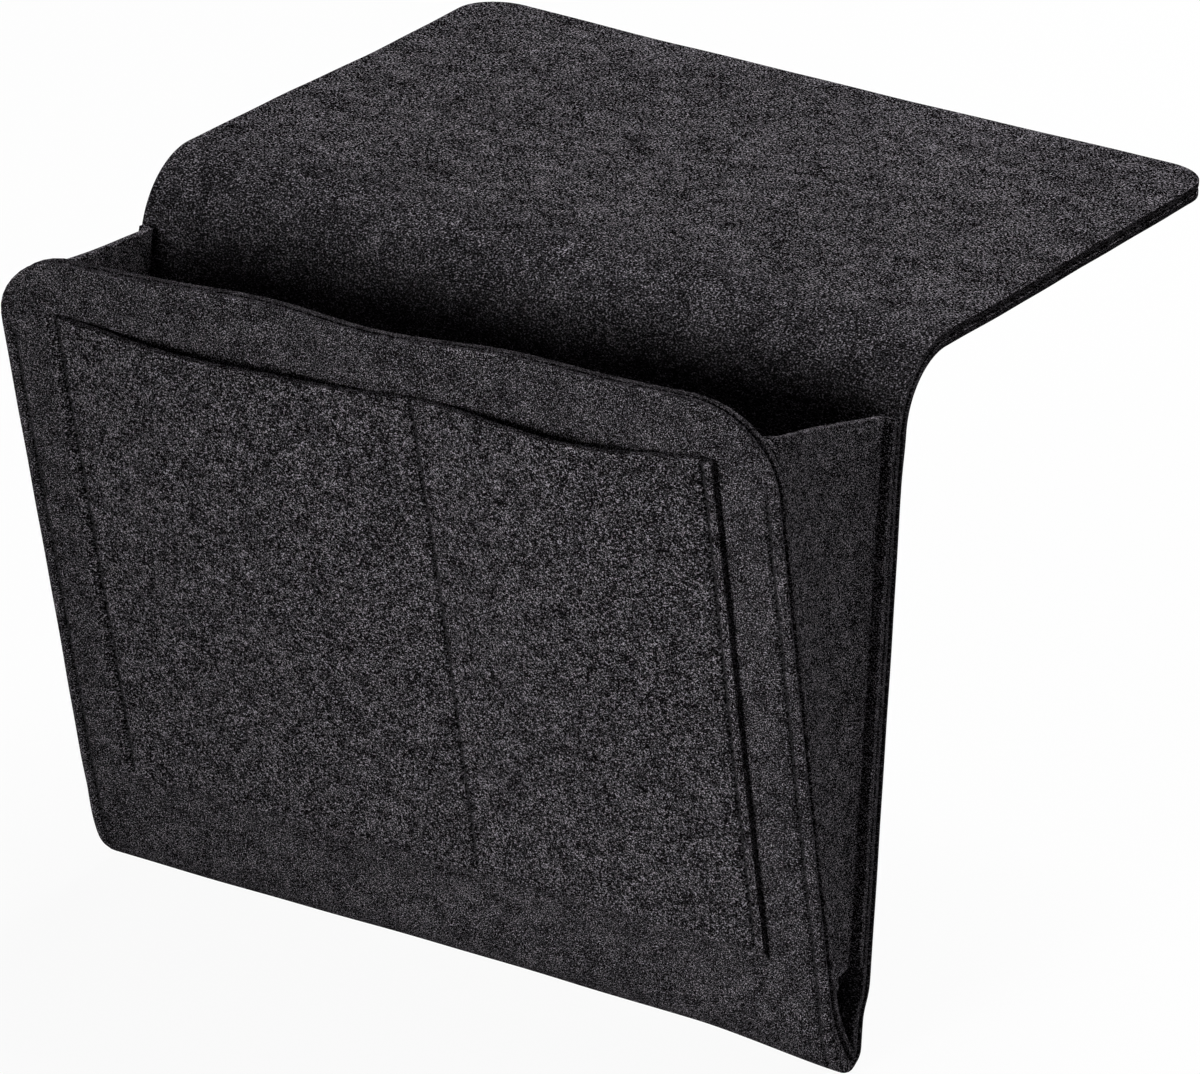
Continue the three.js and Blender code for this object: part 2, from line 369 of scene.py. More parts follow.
def felt_slab(name, rows, shares, place, low_face, high_face, zone, pressed=unpressed,
              flush_first=False, flush_last=False):
    """A closed sheet between t = low_face and high_face. A flush end has no rolled rim.

    The zone tells, for each place, where in the grain it lies, how strong the heather is and how much
    painted shade the cut faces get, with a painted highlight along their rims.
    """
    along, left, right = np.asarray(rows, float).T
    across = left[:, None] + (right - left)[:, None] * np.asarray(shares)[None, :]
    count_rows, count_columns = across.shape
    flat = np.stack([across, np.broadcast_to(along[:, None], across.shape)], axis=-1).reshape(-1, 2)
    index = np.arange(len(flat)).reshape(count_rows, count_columns)
    ring = np.concatenate([index[0], index[1:, -1], index[-1, -2::-1], index[-2:0:-1, 0]])
    outward = outline_normals(flat[ring])
    for flush, row in ((flush_first, 0), (flush_last, -1)):
        if flush:
            outward[np.isin(ring, index[row])] = 0
            outward[ring == index[row, 0]] = (-1, 0)
            outward[ring == index[row, -1]] = (1, 0)

    angles = np.linspace(0, np.pi / 2, RIM_STEPS + 1)[1:]
    upper = [(RIM * math.sin(a), high_face - RIM + RIM * math.cos(a)) for a in angles]
    lower = [(RIM * math.sin(a), low_face + RIM - RIM * math.cos(a)) for a in angles[::-1]]
    parts = [np.column_stack([flat, np.full(len(flat), t)]) for t in (high_face, low_face)]
    parts += [np.column_stack([flat[ring] + outward * out, np.full(len(ring), t)]) for out, t in upper + lower]
    cloth = np.concatenate(parts)
    on_cut = np.zeros(len(cloth))
    on_cut[2 * len(flat):] = np.repeat([out / RIM for out, _ in upper + lower], len(ring))

    quads = np.stack([index[:-1, :-1], index[:-1, 1:], index[1:, 1:], index[1:, :-1]], axis=-1).reshape(-1, 4)
    faces = [quads, quads[:, ::-1] + len(flat)]
    rings = [ring] + [2 * len(flat) + k * len(ring) + np.arange(len(ring)) for k in range(2 * RIM_STEPS)]
    rings.append(ring + len(flat))
    for near, far in zip(rings, rings[1:]):
        faces.append(np.stack([near, far, np.roll(far, -1), np.roll(near, -1)], axis=-1))
    points = place(*cloth.T)
    # Painted shade along the seams is kept with the mesh.
    painted_seam_shade = pressed(cloth[:, 0], cloth[:, 1])
    # Painted shade on the cut faces, with a painted highlight along their rims, is kept with the mesh.
    cloth[:, 0], cloth[:, 1], heather, cut_shade = zone(cloth[:, 0], cloth[:, 1])
    piece = mesh_piece(name, points, np.concatenate(faces).tolist(), cloth,
                       {"heather": heather, "cut": on_cut * cut_shade, "pressed": painted_seam_shade})
    piece.data.set_sharp_from_angle(angle=SHARP)
    return piece


# %% [markdown]
# ## Felt finish
# The felt is charcoal with pale and dark fibres pressed together in all directions. Close to, it is a fine
# salt and pepper, not a flat grey. A picture could be wrapped round it, but nodes keep it sharp at any
# distance: several noise patterns, each stretched along its own direction in the sheet, stand for the
# fibres, a fine speckle for their ends, and a slow pattern for the patchiness of the dye. The same fibres
# drive the bump.

# %% Helpers for node finishes
def new_finish(name):
    material = bpy.data.materials.new(name)
    material.use_nodes = True
    material.node_tree.nodes.clear()
    return material, material.node_tree


def add_node(tree, kind, **settings):
    """A node with its settings and inputs given by name; an input that is given an output is linked to it."""
    node = tree.nodes.new(kind)
    for key, value in settings.items():
        if key not in node.inputs:
            setattr(node, key, value)
        elif isinstance(value, bpy.types.NodeSocket):
            tree.links.new(value, node.inputs[key])
        else:
            node.inputs[key].default_value = value
    return node


def combine(tree, operation, *values, **settings):
    """A Math node's output; each value is a number or another node's output."""
    node = add_node(tree, "ShaderNodeMath", operation=operation, **settings)
    for socket, value in zip(node.inputs, values):
        if isinstance(value, bpy.types.NodeSocket):
            tree.links.new(value, socket)
        else:
            socket.default_value = value
    return node.outputs[0]


def kept_value(tree, name, output="Fac"):
    """A value that is kept with the mesh."""
    return add_node(tree, "ShaderNodeAttribute", attribute_name=name).outputs[output]


def noise(tree, place, **settings):
    return add_node(tree, "ShaderNodeTexNoise", Vector=place, **settings).outputs["Fac"]


def map_range(tree, value, from_range, to_range, **settings):
    node = add_node(tree, "ShaderNodeMapRange", Value=value, **settings)
    for end, number in zip(("From Min", "From Max", "To Min", "To Max"), (*from_range, *to_range)):
        node.inputs[end].default_value = number
    return node.outputs["Result"]


def grey_ramp(tree, share, tones, tint):
    ramp = add_node(tree, "ShaderNodeValToRGB", Fac=share)
    stops = ramp.color_ramp.elements
    while len(stops) < len(tones):
        stops.new(0.5)
    for stop, (place, grey) in zip(stops, tones):
        stop.position = place
        stop.color = (*(grey * part for part in tint), 1)
    return ramp.outputs["Color"]


def cloth_surface(tree, colour, height, strength, distance, roughness, specular):
    """Closes a finish: a colour and a bump on a dull surface."""
    bump = add_node(tree, "ShaderNodeBump", Strength=strength, Distance=distance, Height=height)
    surface = add_node(tree, "ShaderNodeBsdfPrincipled", Roughness=roughness, Normal=bump.outputs["Normal"],
                       **{"Base Color": colour, "Specular IOR Level": specular})
    add_node(tree, "ShaderNodeOutputMaterial", Surface=surface.outputs["BSDF"])


# %% Fibres of the felt
FIBRE_ANGLES = (8, 47, 83, 121, 158)
FIBRE_LENGTH = 1.6 * MM
FIBRE_WIDTH = 0.4 * MM
FIBRE_SHIFT = (13 * MM, 7 * MM, 3 * MM)
SPECK = 0.52 * MM


def fibre_pattern(tree, cloth):
    """The palest of several noises, each drawn out along its own direction, with a speckle added."""
    fibres = None
    for k, angle in enumerate(FIBRE_ANGLES):
        turned = add_node(tree, "ShaderNodeMapping", vector_type="TEXTURE", Vector=cloth,
                          Location=[k * shift for shift in FIBRE_SHIFT], Rotation=(0, 0, math.radians(angle)),
                          Scale=(FIBRE_LENGTH, FIBRE_WIDTH, FIBRE_WIDTH))
        strand = noise(tree, turned.outputs["Vector"], Scale=1.0, Detail=1.0, Roughness=0.6, Distortion=0.4)
        fibres = strand if fibres is None else combine(tree, "MAXIMUM", fibres, strand)
    speck = noise(tree, cloth, Scale=1 / SPECK, Detail=1.0, Roughness=0.7)
    return combine(tree, "ADD", speck, fibres)


# %% Felt finish
TINT = (1.01, 0.94, 1.045)
FELT_TONES = ((0.0, 0.002), (0.25, 0.009), (0.5, 0.040), (1.0, 0.36))
# Painted highlight along the rims of cut faces, then painted shade on the faces themselves.
RIM_HIGHLIGHT_AND_CUT_SHADE = ((0.0, 1.0), (0.45, 1.4), (0.8, 0.65), (1.0, 0.3))
# Painted shade along the seams.
SEAM_SHADE_TONE = 0.25
GRAIN_RANGE = (1.02, 1.38)
MOTTLE = 7 * MM
MOTTLE_SHARE = 0.16
PATCH = 9 * MM
PATCH_RANGE = (0.25, 0.75)
PATCH_TONES = (0.82, 1.18)
FELT_BUMP = (0.55, 0.35 * MM)


def felt_finish(name):
    material, tree = new_finish(name)
    cloth = kept_value(tree, "cloth", "Vector")
    grain = fibre_pattern(tree, cloth)
    mottle = noise(tree, cloth, Scale=1 / MOTTLE, Detail=2.0, Roughness=0.6)
    mixed = combine(tree, "MULTIPLY_ADD", mottle, MOTTLE_SHARE, grain)
    spread = map_range(tree, mixed, [end + MOTTLE_SHARE / 2 for end in GRAIN_RANGE], (-0.5, 0.5), clamp=False)
    strong = combine(tree, "MULTIPLY_ADD", spread, kept_value(tree, "heather"), 0.5)
    tone = grey_ramp(tree, strong, FELT_TONES, TINT)

    patches = noise(tree, cloth, Scale=1 / PATCH, Detail=3.0, Roughness=0.6)
    patchy = map_range(tree, patches, PATCH_RANGE, PATCH_TONES)
    # Painted shade along the seams.
    painted_seam_shade = combine(tree, "MULTIPLY_ADD", kept_value(tree, "pressed"), SEAM_SHADE_TONE - 1, 1.0)
    # Painted shade on the cut faces and a painted highlight along their rims.
    edge = grey_ramp(tree, kept_value(tree, "cut"), RIM_HIGHLIGHT_AND_CUT_SHADE, (1, 1, 1))
    level = combine(tree, "MULTIPLY", patchy, painted_seam_shade)
    shaded = add_node(tree, "ShaderNodeVectorMath", operation="SCALE", Scale=level)
    tree.links.new(edge, shaded.inputs[0])
    dyed = add_node(tree, "ShaderNodeVectorMath", operation="MULTIPLY")
    tree.links.new(tone, dyed.inputs[0])
    tree.links.new(shaded.outputs["Vector"], dyed.inputs[1])
    cloth_surface(tree, dyed.outputs["Vector"], grain, *FELT_BUMP, roughness=0.95, specular=0.0)
    return material


charcoal_felt = felt_finish("charcoal_felt")
print("felt fibres in", len(FIBRE_ANGLES), "directions")


# %% Dressing a piece
def dress(piece, finish):
    piece.data.materials.append(finish)
    return piece


def felt_piece(*cut, **details):
    piece = dress(felt_slab(*cut, **details), charcoal_felt)
    print(piece.name, len(piece.data.polygons), "faces")
    return piece


# %% [markdown]
# ## The strip: flap, bend and back
# Each layer is one piece from the flap's far edge to the bottom fold. The far corners are rounded in the
# cut, and the rows lie closer where the sheet bends.

# %% Rows and columns of a cut
GRID = 3.2 * MM
BEND_GRID = 1.6 * MM
CORNER_STEPS = 12
SEAM_SIDE_STEPS = (0.0, 0.25 * MM, 0.6 * MM, 1.1 * MM, 1.9 * MM)
EDGE_STEPS = (0.4 * MM, 0.9 * MM, 1.6 * MM)


def steps(start, end, size):
    return np.linspace(start, end, max(2, int(round(abs(end - start) / size)) + 1))


def corner_rows(edge, corner, inward):
    """Rows through two rounded corners, from the far edge inwards; inward is +1 or -1 along s."""
    turn = np.linspace(np.pi / 2, 0, CORNER_STEPS)
    radius = corner - RIM
    along = edge + inward * (corner - radius * np.sin(turn))
    half = HALF_WIDTH - corner + radius * np.cos(turn)
    return np.column_stack([along, -half, half])


def straight_rows(start, end, size, half=HALF_WIDTH - RIM):
    along = steps(start, end, size)
    return np.column_stack([along, np.full(len(along), -half), np.full(len(along), half)])


def shares_near(places, half, size):
    """Column shares across a cut: even steps, with extra columns round the given places."""
    even = steps(-half, half, size)
    extra = [p + side * d for p in places for d in SEAM_SIDE_STEPS for side in (-1, 1)]
    extra += [side * (half - d) for d in EDGE_STEPS for side in (-1, 1)]
    extra = np.array([p for p in extra if abs(p) < half])
    clear = [e for e in even if np.abs(extra - e).min() > size / 3 or abs(e) >= half]
    return (np.unique(np.concatenate([clear, extra])) + half) / (2 * half)


# %% Rows and columns of the strip
FLAP_CORNER = 19 * MM
FRONT_CORNER = 33 * MM
SEAM_INSET = 4.8 * MM
OUTER = (LAYER_GAP / 2, MIDDLE)
INNER = (-MIDDLE, -LAYER_GAP / 2)
edge_seams = (SEAM_INSET - HALF_WIDTH, HALF_WIDTH - SEAM_INSET)
strip_rows = np.concatenate([
    corner_rows(0, FLAP_CORNER, 1),
    straight_rows(FLAP_CORNER, run_start["bend"], GRID)[1:],
    straight_rows(run_start["bend"], back_start, BEND_GRID)[1:],
    straight_rows(back_start, pinch_start, GRID)[1:],
    straight_rows(pinch_start, fold_start, BEND_GRID)[1:],
])
strip_shares = shares_near(edge_seams, HALF_WIDTH - RIM, GRID)
print(len(strip_rows), "rows by", len(strip_shares), "columns")

# %% [markdown]
# A row of stitches pulls the felt in, so each seam lies in a shallow valley. The valley is part of the
# sheet's own shape. It fades out at the seam's two ends. Along each seam the felt also gets painted shade,
# whose strength is kept with the mesh for the finish to use.

# %% Seam valleys
VALLEY = 1.6 * MM
VALLEY_WIDTH = 0.9 * MM
# Width of the painted shade along a seam.
SEAM_SHADE_WIDTH = 0.9 * MM
SEAM_FADE = 4 * MM
SEAM_FROM_BEND = 5 * MM
SEAM_FROM_FOLD = 2 * MM
BACK_SEAM = (back_start + SEAM_FROM_BEND, pinch_start - SEAM_FROM_FOLD)
FRONT_SEAM = (run_start["sole"] + SEAM_FROM_FOLD, SHEET_LENGTH - FRONT_CORNER)


def seam_length(s, start, end):
    return ease((s - start) / SEAM_FADE) * ease((end - s) / SEAM_FADE)


def valley(x, s, seam, start, end):
    return VALLEY * np.exp(-np.abs(x - seam) / VALLEY_WIDTH) * seam_length(s, start, end)


def seam_shade_mask(seams, start, end):
    """Painted shade along rows of stitches at the given x, between two places along it: one on the seam."""
    def pressed(x, s):
        side = sum(np.exp(-(((x - seam) / SEAM_SHADE_WIDTH) ** 2)) for seam in seams)
        return side * seam_length(s, start, end)
    return pressed


print("back seams are", round((BACK_SEAM[1] - BACK_SEAM[0]) / MM), "mm long and front seams",
      round((FRONT_SEAM[1] - FRONT_SEAM[0]) / MM))

# %% [markdown]
# The two layers are held together by the seams alone, so near a cut edge they part a little, and a dark line
# shows between them. A sewn edge is also worn round, and at the bottom the spare felt bunches up: the outer
# layer outside the fold, the inner one inside it.

# %% Edges and bunched felt
EDGE_GAP = 1.8 * MM
FLAP_EDGE_GAP = 1.0 * MM
EDGE_GAP_DEPTH = 5 * MM
EDGE_GAP_CHANGE = 40 * MM
SEWN_ROUND = 1.3 * MM
SEWN_ROUND_DEPTH = 3.0 * MM
SEWN_ROUND_START = 20 * MM
HEEL_BULGE = 4.2 * MM
HEEL_EARLY, HEEL_SHARP = 0.6, 1.5
INNER_BUNCH = 1.8 * MM
BUNCH_FROM, BUNCH_RISE = 4 * MM, 9 * MM
BUNCH_TO, BUNCH_FALL = 26 * MM, 12 * MM
fold_tip = (fold_start + run_start["sole"]) / 2


def from_cut(x, s):
    """How far a place on the strip is from its cut edge, round corners included."""
    corner = np.where(s < SHEET_LENGTH / 2, FLAP_CORNER, FRONT_CORNER)
    side = HALF_WIDTH - np.abs(x)
    end = np.minimum(s, SHEET_LENGTH - s)
    in_corner = corner - np.hypot(np.clip(corner - side, 0, None), np.clip(corner - end, 0, None))
    return np.where((side < corner) & (end < corner), in_corner, np.minimum(side, end))


def edge_gap(x, s):
    """How far each layer draws back from the other near the cut edges."""
    gap = FLAP_EDGE_GAP + (EDGE_GAP - FLAP_EDGE_GAP) * ease((s - run_start["bend"]) / EDGE_GAP_CHANGE)
    return gap / 2 * ease(1 - from_cut(x, s) / EDGE_GAP_DEPTH)


def sewn_round(x, s):
    """How far the outer face falls away to a sewn edge."""
    near = np.clip(1 - (HALF_WIDTH - np.abs(x)) / SEWN_ROUND_DEPTH, 0, 1)
    return SEWN_ROUND * (1 - np.sqrt(1 - near ** 2)) * ease((s - back_start) / SEWN_ROUND_START)


def heel_bulge(s):
    """The outer layer bunches up where the front's foot turns into the bottom fold."""
    share = np.clip((s - fold_tip) / (run_start["front"] - fold_tip), 0, 1)
    return HEEL_BULGE * np.sin(np.pi * share ** HEEL_EARLY) ** HEEL_SHARP


def inner_bunch(s):
    """The inner layer bunches up into the fold, on the back's side of it."""
    away = fold_tip - s
    return INNER_BUNCH * ease((away - BUNCH_FROM) / BUNCH_RISE) * ease((BUNCH_TO - away) / BUNCH_FALL)


# %% Placing the two layers
def outer_layer_place(x, s, t):
    pulled = sum(valley(x, s, seam, *ends) for seam in edge_seams for ends in (BACK_SEAM, FRONT_SEAM))
    share = (t - OUTER[0]) / (OUTER[1] - OUTER[0])
    face = heel_bulge(s) - pulled - sewn_round(x, s)
    return sheet_place(x, s, t + face * share + edge_gap(x, s) * (1 - share))


def inner_layer_place(x, s, t):
    share = (t - INNER[0]) / (INNER[1] - INNER[0])
    return sheet_place(x, s, t - edge_gap(x, s) * share - inner_bunch(s) * (1 - share))


# %% Make the strip
FLAP_GRAIN = 1.2
STRIP_GRAIN_ACROSS = 1.5
FLAP_HEATHER = 1.95
BACK_HEATHER = 0.8
CALM_FROM = 30 * MM
CALM_LENGTH = 52 * MM
GRAIN_STEPS = 2000


def past_bend(s):
    return ease((s - run_start["bend"]) / (back_start - run_start["bend"]))


def strip_zone(x, s):
    """The heather is drawn out across the caddy. On the flap it is stronger and its cut faces get painted
    shade, with a painted highlight along their rims.
    """
    lengths = np.linspace(0, SHEET_LENGTH, GRAIN_STEPS)
    rate = 1 / FLAP_GRAIN + (1 - 1 / FLAP_GRAIN) * past_bend(lengths)
    along = np.interp(s, lengths, np.cumsum(rate) * (lengths[1] - lengths[0]))
    calm = ease((s - run_start["bend"] + CALM_FROM) / CALM_LENGTH)
    heather = FLAP_HEATHER + (BACK_HEATHER - FLAP_HEATHER) * calm
    # The last value paints shade on the flap's cut faces, with a highlight along their rims, fading out over
    # the bend.
    return x / STRIP_GRAIN_ACROSS, along, heather, 1 - past_bend(s)


outer_strip = felt_piece("outer_strip", strip_rows, strip_shares, outer_layer_place, *OUTER, zone=strip_zone,
                         pressed=seam_shade_mask(edge_seams, *BACK_SEAM), flush_last=True)
inner_strip = felt_piece("inner_strip", strip_rows, strip_shares, inner_layer_place, *INNER, zone=strip_zone,
                         flush_last=True)
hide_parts("flap_under_layer", "bend_under_layer", "back_outer_layer")
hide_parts("flap_top_layer", "bend_top_layer", "back_inner_layer")
bend_end_z = sheet_line([back_start])[1][0]
for piece in (outer_strip, inner_strip):
    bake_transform(piece)

# %% [markdown]
# ## The front
# Below the fold the same two layers go on as the front. They are separate pieces here because a piece can
# bend at one joint only, so the strip is split where the fold begins and both parts end flush there.

# %% Make the front
FOLD_GRID = 0.8 * MM
INNER_SHORT = 1.2 * MM
FRONT_HEATHER = 1.15
# How much painted shade the cut faces get, with a painted highlight along their rims.
PAINTED_CUT_SHADE = 0.8


def front_zone(x, s):
    """Painted shade on the cut faces along the top edge, with a painted highlight along their rims; none down
    the sides.
    """
    cut_shade = PAINTED_CUT_SHADE * ease((s - SHEET_LENGTH + FRONT_CORNER) / (FRONT_CORNER / 2))
    return x, s, np.full_like(s, FRONT_HEATHER), cut_shade


def front_rows(end):
    return np.concatenate([
        straight_rows(fold_start, run_start["front"], FOLD_GRID),
        straight_rows(run_start["front"], end - FRONT_CORNER, GRID)[1:],
        corner_rows(end, FRONT_CORNER, -1)[::-1][1:],
    ])


outer_front = felt_piece("outer_front", front_rows(SHEET_LENGTH), strip_shares, outer_layer_place, *OUTER,
                         zone=front_zone, pressed=seam_shade_mask(edge_seams, *FRONT_SEAM), flush_first=True)
inner_front = felt_piece("inner_front", front_rows(SHEET_LENGTH - INNER_SHORT), strip_shares,
                         inner_layer_place, *INNER, zone=front_zone, flush_first=True)
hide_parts("fold_outer_layer", "front_outer_layer")
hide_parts("fold_inner_layer", "front_inner_layer")
for piece in (outer_front, inner_front):
    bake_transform(piece)

# %% [markdown]
# ## The pocket panel
# One sheet of felt is sewn on the front along its sides, its foot and a divider. Between the seams it stands
# off the front, most at the two mouths. It is the same kind of slab, placed further out from the strip's
# middle, with the gape added. The foot is pressed thin by its seam, and the side edges stand off a little.

# %% Sizes of the pocket panel
POCKET_SPREAD = 0.9 * MM
POCKET_LIFT = 38.3 * MM
POCKET_HEIGHT = 213.8 * MM
POCKET_HEM = 4.6 * MM
DIVIDER_DRIFT = 1.5 * MM
PANEL = (MIDDLE + LAYER_GAP, MIDDLE + LAYER_GAP + FELT)
divider_low, divider_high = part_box("pocket_seam_divider")
POCKET_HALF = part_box("pocket_panel")[1].x + POCKET_SPREAD
POCKET_FOOT = run_start["front"] - FRONT_START + POCKET_LIFT
POCKET_TOP = POCKET_FOOT + POCKET_HEIGHT
DIVIDER = (divider_low.x + divider_high.x) / 2 + DIVIDER_DRIFT
panel_seams = (POCKET_HEM - POCKET_HALF, DIVIDER, POCKET_HALF - POCKET_HEM)
panel_foot_seam = POCKET_FOOT + POCKET_HEM
panel_seam_ends = (panel_foot_seam, POCKET_TOP + SEAM_FADE)
print(f"panel {2 * POCKET_HALF / MM:.1f} by {POCKET_HEIGHT / MM:.1f} mm, divider at x {DIVIDER / MM:.1f} mm")

# %% Placing the pocket panel
MOUTH = 9.0 * MM
ARCH_POWER = 1.4
GAPE_POWER = 1.6
FOOT_PRESSED = 0.85
FOOT_PRESSED_HEMS = 1.2
SIDE_LIFT = 0.6 * MM
LEAST_FELT = 0.4 * MM


def gape(x, s):
    """How far the panel stands off the front between its seams."""
    left, divider, right = panel_seams
    share = np.where(x < divider, (x - left) / (divider - left), (x - divider) / (right - divider))
    arch = np.sin(np.pi * np.clip(share, 0, 1)) ** ARCH_POWER
    up = np.clip((s - panel_foot_seam) / (POCKET_TOP - panel_foot_seam), 0, 1)
    return MOUTH * arch * np.sin(np.pi / 2 * up) ** GAPE_POWER


def panel_place(x, s, t):
    share = (t - PANEL[0]) / (PANEL[1] - PANEL[0])
    pulled = sum(valley(x, s, seam, *panel_seam_ends) for seam in panel_seams)
    from_foot = (s - POCKET_FOOT) / POCKET_HEM
    thin = FOOT_PRESSED * FELT * ease(FOOT_PRESSED_HEMS - from_foot)
    lift = SIDE_LIFT * ease(1 - (POCKET_HALF - np.abs(x)) / POCKET_HEM) * ease(from_foot - 1)
    pulled = np.minimum(pulled, FELT - thin - LEAST_FELT)
    return sheet_place(x, s, t - share * (pulled + thin) + lift + gape(x, s))


# %% Make the pocket panel
PANEL_HEATHER = 1.15
ROW_DIGITS = 7
panel_half = POCKET_HALF - RIM
panel_rows = straight_rows(POCKET_FOOT + RIM, POCKET_TOP - RIM, GRID, panel_half)
foot_rows = [[panel_foot_seam + side * d, -panel_half, panel_half] for d in SEAM_SIDE_STEPS for side in (-1, 1)]
panel_rows = np.unique(np.round(np.concatenate([panel_rows, foot_rows]), ROW_DIGITS), axis=0)


def panel_zone(x, s):
    # The panel's cut faces get painted shade, with a painted highlight along their rims.
    return x, s, np.full_like(s, PANEL_HEATHER), np.full_like(s, PAINTED_CUT_SHADE)


pocket_felt = felt_piece("pocket_felt", panel_rows, shares_near(panel_seams, panel_half, GRID), panel_place,
                         *PANEL, zone=panel_zone, pressed=seam_shade_mask(panel_seams, *panel_seam_ends))
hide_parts("pocket_panel")
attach(pocket_felt, "front")

# %% [markdown]
# ## The gussets
# Each side is closed by one strip of felt with both long edges turned outwards and sewn to the back and the
# front. Across the strip it runs out along the back, round a soft bend, over the web, round another bend and
# out along the front. The web bows inwards a little, as slack felt does. The strip is cut as a wedge, so its
# rows get wider towards the top.

# %% Sizes of the gussets
FLANGE_WIDTH = 4.5 * MM
FLANGE_INSET = 0.6 * MM
FLANGE_PRESS = 0.05 * MM
FLANGE_EDGE = HALF_WIDTH - FLANGE_INSET
FLANGE_T = FLANGE_PRESS - MIDDLE - FELT / 2
WEB_X = HALF_WIDTH - FLANGE_WIDTH - FELT / 2
TURN = 2.6 * MM
GUSSET_FOOT = 26 * MM
BACK_DROP = 25 * MM
FRONT_DROP = 15.5 * MM
back_foot = back_start + bend_end_z - fold_z - GUSSET_FOOT
back_head = back_start - (flap_top[1].z - BACK_DROP - bend_end_z)
front_foot = run_start["front"] - FRONT_START + GUSSET_FOOT
gusset_height = SHEET_LENGTH - FRONT_DROP - front_foot
print(f"gussets {gusset_height / MM:.1f} mm high")


# %% Where a gusset is sewn
def gusset_ends(side, up, x):
    """Where the back flange and the front flange lie at a share of the gusset's height."""
    back = sheet_place(side * x, back_foot + up * (back_head - back_foot), FLANGE_T)
    front = sheet_place(side * x, front_foot + up * gusset_height, FLANGE_T)
    return back, front


def gusset_depth(side, up):
    back, front = gusset_ends(side, np.clip(up, 0, 1), np.full_like(up, WEB_X))
    return np.linalg.norm(front - back, axis=-1)


def corner_inset(up):
    """How far the front's rounded corner has moved in at a share of the gusset's height."""
    above = front_foot + up * gusset_height - (SHEET_LENGTH - FRONT_CORNER)
    return FRONT_CORNER - np.sqrt(FRONT_CORNER ** 2 - np.clip(above, 0, FRONT_CORNER) ** 2)


# %% The line across a gusset
TINY = 1e-6
WEB_BOW = 1.5 * MM
BEVEL = 9 * MM


def gusset_line(across, depth):
    """At a length across the strip: x, how far from the back, the face's direction, the share of the web."""
    flange = FLANGE_EDGE - WEB_X - TURN
    arc = TURN * np.pi / 2
    web = depth - 2 * TURN
    first = np.clip((across - flange) / TURN, 0, np.pi / 2)
    second = np.clip((across - flange - arc - web) / TURN, 0, np.pi / 2)
    on_web = np.clip(across - flange - arc, 0, web)
    last = np.clip(across - flange - 2 * arc - web, 0, None)
    x = FLANGE_EDGE - np.minimum(across, flange) - TURN * np.sin(first) + TURN * (1 - np.cos(second)) + last
    reach = TURN * (1 - np.cos(first)) + on_web + TURN * np.sin(second)
    heading = first - second
    return x, reach, np.sin(heading), np.cos(heading), on_web / np.maximum(web, TINY)


def gusset_place(side):
    def place(across, along, t):
        up = along / gusset_height
        depth = gusset_depth(side, up)
        x, reach, out_x, out_reach, web_share = gusset_line(across, depth)
        bow = WEB_BOW * np.sin(np.pi * web_share) ** 2 * ease(2 * up)
        inset = corner_inset(up) * ease((reach - depth + BEVEL) / BEVEL)
        x = x - bow - inset + t * out_x
        reach = reach - t * out_reach
        back, front = gusset_ends(side, up, x)
        return back + (reach / depth)[:, None] * (front - back)
    return place


# %% Make the gussets
GUSSET_ROWS = 64
GUSSET_COLUMNS = 72
GUSSET_HEATHER = 1.7
SIDES = {"left": -1, "right": 1}


def gusset_zone(x, s):
    return x, s, np.full_like(s, GUSSET_HEATHER), np.zeros_like(s)


gussets, gusset_cuts = {}, {}
for side_name, side in SIDES.items():
    up = np.linspace(RIM / gusset_height, 1 - RIM / gusset_height, GUSSET_ROWS)
    cut = 2 * (FLANGE_EDGE - WEB_X - TURN + TURN * np.pi / 2) + gusset_depth(side, up) - 2 * TURN
    rows = np.column_stack([up * gusset_height, np.full(GUSSET_ROWS, RIM), cut - RIM])
    gusset = felt_piece(f"gusset_felt_{side_name}", rows, np.linspace(0, 1, GUSSET_COLUMNS), gusset_place(side),
                        -FELT / 2, FELT / 2, zone=gusset_zone)
    if side > 0:
        gusset.data.flip_normals()
    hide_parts(f"gusset_{side_name}")
    gussets[side_name], gusset_cuts[side_name] = gusset, cut
    print("its cut is", round(cut.max() / MM), "mm wide at the top")

# %% [markdown]
# A gusset closes like a fan when the front is pressed to the back. Here each gusset is baked in place and
# its points are read as x, how far out from the fold and how far above it; nothing more is done with them.

# %% Read the gusset points round the fold
for gusset in gussets.values():
    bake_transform(gusset)
    points = np.zeros(len(gusset.data.vertices) * 3, np.float32)
    gusset.data.vertices.foreach_get("co", points)
    points = points.reshape(-1, 3).astype(float)
    x, out, up = points[:, 0], fold_y - points[:, 1], points[:, 2] - fold_z

# %% [markdown]
# ## Stitches
# The seams are sewn with dull thread of the felt's own colour. A dashed texture would do from far away, but
# the stitches catch the light, so each is a short tube that rises out of the felt and dives back in. One
# function sews any line given as places on the strip.

# %% Thread finish
THREAD_DARK = (0.006, 0.0055, 0.0065)
THREAD_PALE = (0.022, 0.021, 0.023)
THREAD_BUMP = (0.5, 0.1 * MM)


def thread_finish(name):
    material, tree = new_finish(name)
    cloth = kept_value(tree, "cloth", "Vector")
    wave = add_node(tree, "ShaderNodeTexWave", Vector=cloth, Scale=1.0, Distortion=0.6, Detail=1.0)
    plies = wave.outputs["Fac"]
    shade = add_node(tree, "ShaderNodeValToRGB", Fac=plies)
    for stop, tone in zip(shade.color_ramp.elements, (THREAD_DARK, THREAD_PALE)):
        stop.color = (*tone, 1)
    cloth_surface(tree, shade.outputs["Color"], plies, *THREAD_BUMP, roughness=0.7, specular=0.1)
    return material


charcoal_thread = thread_finish("charcoal_thread")

